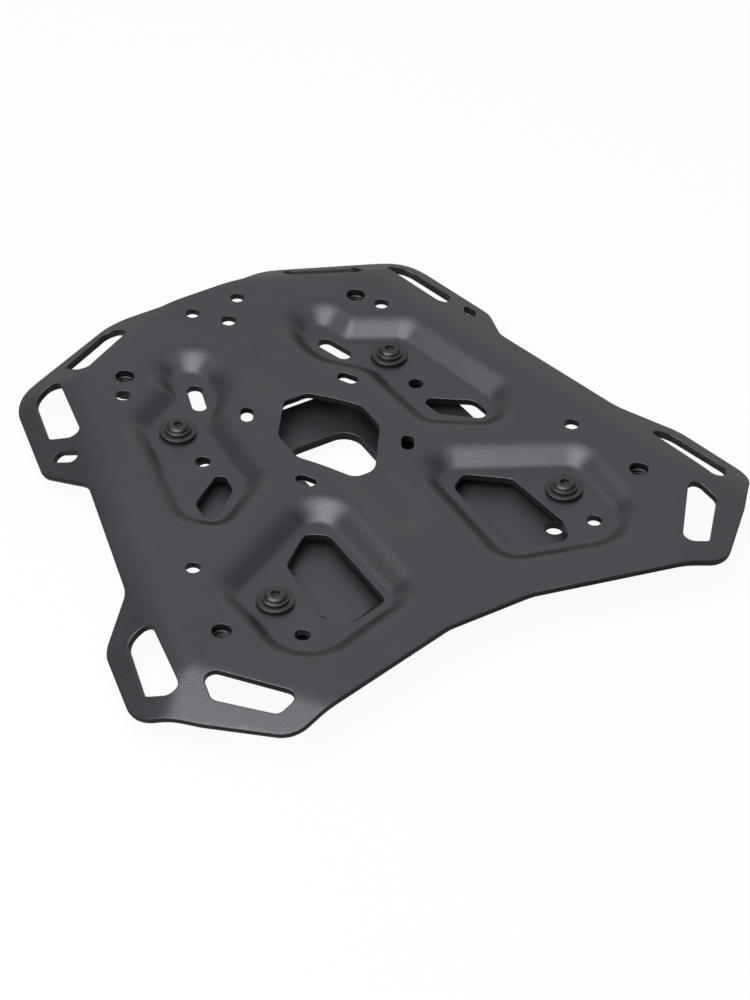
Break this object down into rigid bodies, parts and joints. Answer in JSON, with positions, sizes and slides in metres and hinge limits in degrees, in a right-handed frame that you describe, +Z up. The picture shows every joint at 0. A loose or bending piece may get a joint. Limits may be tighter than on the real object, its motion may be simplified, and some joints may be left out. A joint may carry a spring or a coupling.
{
  "type": "motorcycle luggage rack",
  "caption": "Pressed sheet luggage rack with sunk screw pockets, windows and bent-down slotted ears, bolted over a flat adapter plate.",
  "frame": {"origin": "below the middle of the whole box, at the height of the screw ends", "axes": "+X to the right, +Y to the front end with three holes, +Z up from the ground to the luggage side"},
  "size_m": [0.3284, 0.296, 0.027],
  "materials": {
    "plate_coat": "satin black powder coat with a fine grain",
    "adapter_coat": "satin black powder coat",
    "screw_steel": "black oxide, slightly shiny",
    "washer_steel": "black oxide",
    "spacer_zinc": "zinc plated",
    "nut_zinc": "zinc plated",
    "weld_nut_steel": "plain steel, coated over outside"
  },
  "bodies": {
    "root": {"rack_plate": "plate_coat", "adapter_plate": "adapter_coat", "screw_front_left": "screw_steel", "washer_front_left": "washer_steel", "spacer_front_left": "spacer_zinc", "nut_front_left": "nut_zinc", "weld_nut_front_left": "weld_nut_steel", "screw_front_right": "screw_steel", "washer_front_right": "washer_steel", "spacer_front_right": "spacer_zinc", "nut_front_right": "nut_zinc", "weld_nut_front_right": "weld_nut_steel", "screw_rear_left": "screw_steel", "washer_rear_left": "washer_steel", "spacer_rear_left": "spacer_zinc", "nut_rear_left": "nut_zinc", "weld_nut_rear_left": "weld_nut_steel", "screw_rear_right": "screw_steel", "washer_rear_right": "washer_steel", "spacer_rear_right": "spacer_zinc", "nut_rear_right": "nut_zinc", "weld_nut_rear_right": "weld_nut_steel"}
  },
  "joints": []
}
